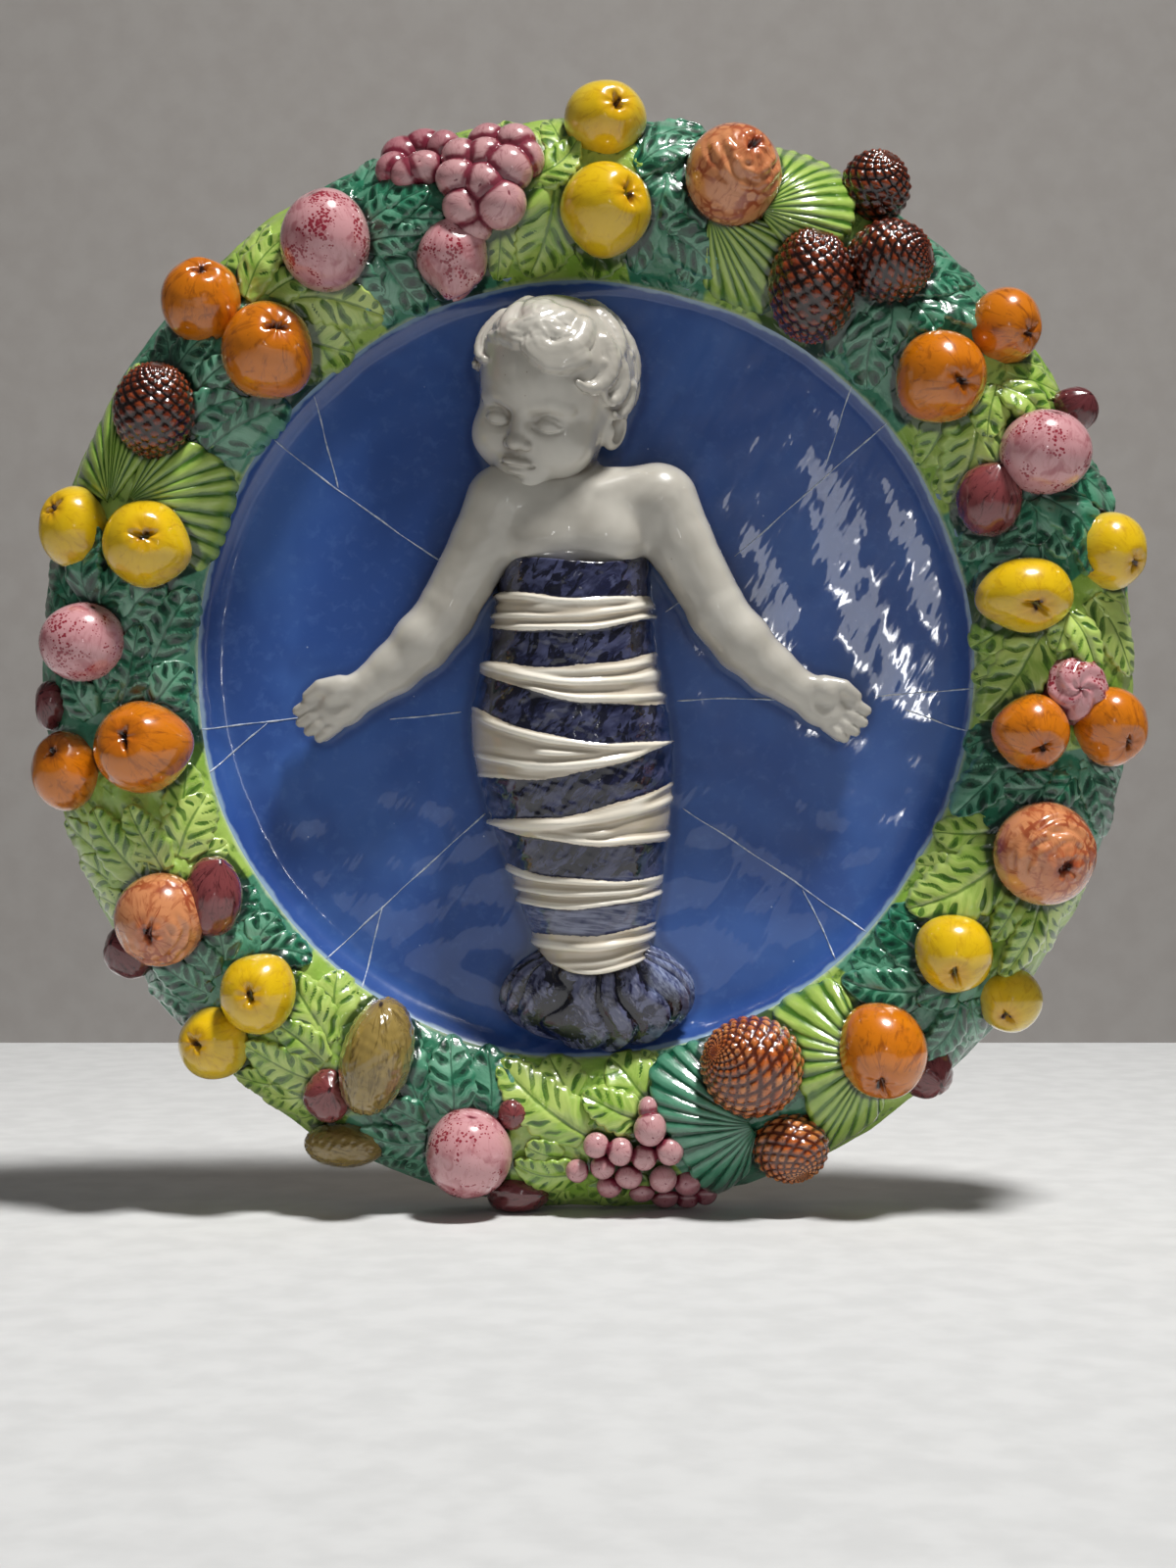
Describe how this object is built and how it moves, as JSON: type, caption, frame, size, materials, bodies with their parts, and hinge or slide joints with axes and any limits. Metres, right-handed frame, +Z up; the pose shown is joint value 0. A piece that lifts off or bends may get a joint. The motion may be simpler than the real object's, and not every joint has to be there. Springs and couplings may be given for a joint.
{
  "type": "decorative wall plaque",
  "caption": "Round glazed ceramic wall plaque: a swaddled infant in white relief on a blue dished field, framed by a raised garland of leaves, fruit, cones and grapes",
  "frame": {"origin": "on the flat face of the foot ring at the back, at the top of the ring, where the plaque hangs against the wall", "axes": "+Y into the wall (the relief faces -Y), +Z up, +X to the viewer's right"},
  "size_m": [0.4059, 0.0625, 0.4135],
  "materials": {
    "blue_glaze": "gloss",
    "white_glaze": "gloss",
    "green_glaze": "gloss",
    "fruit_glaze": "gloss",
    "bare_clay": "matte"
  },
  "bodies": {
    "root": {"plaque": "blue_glaze"}
  },
  "joints": []
}
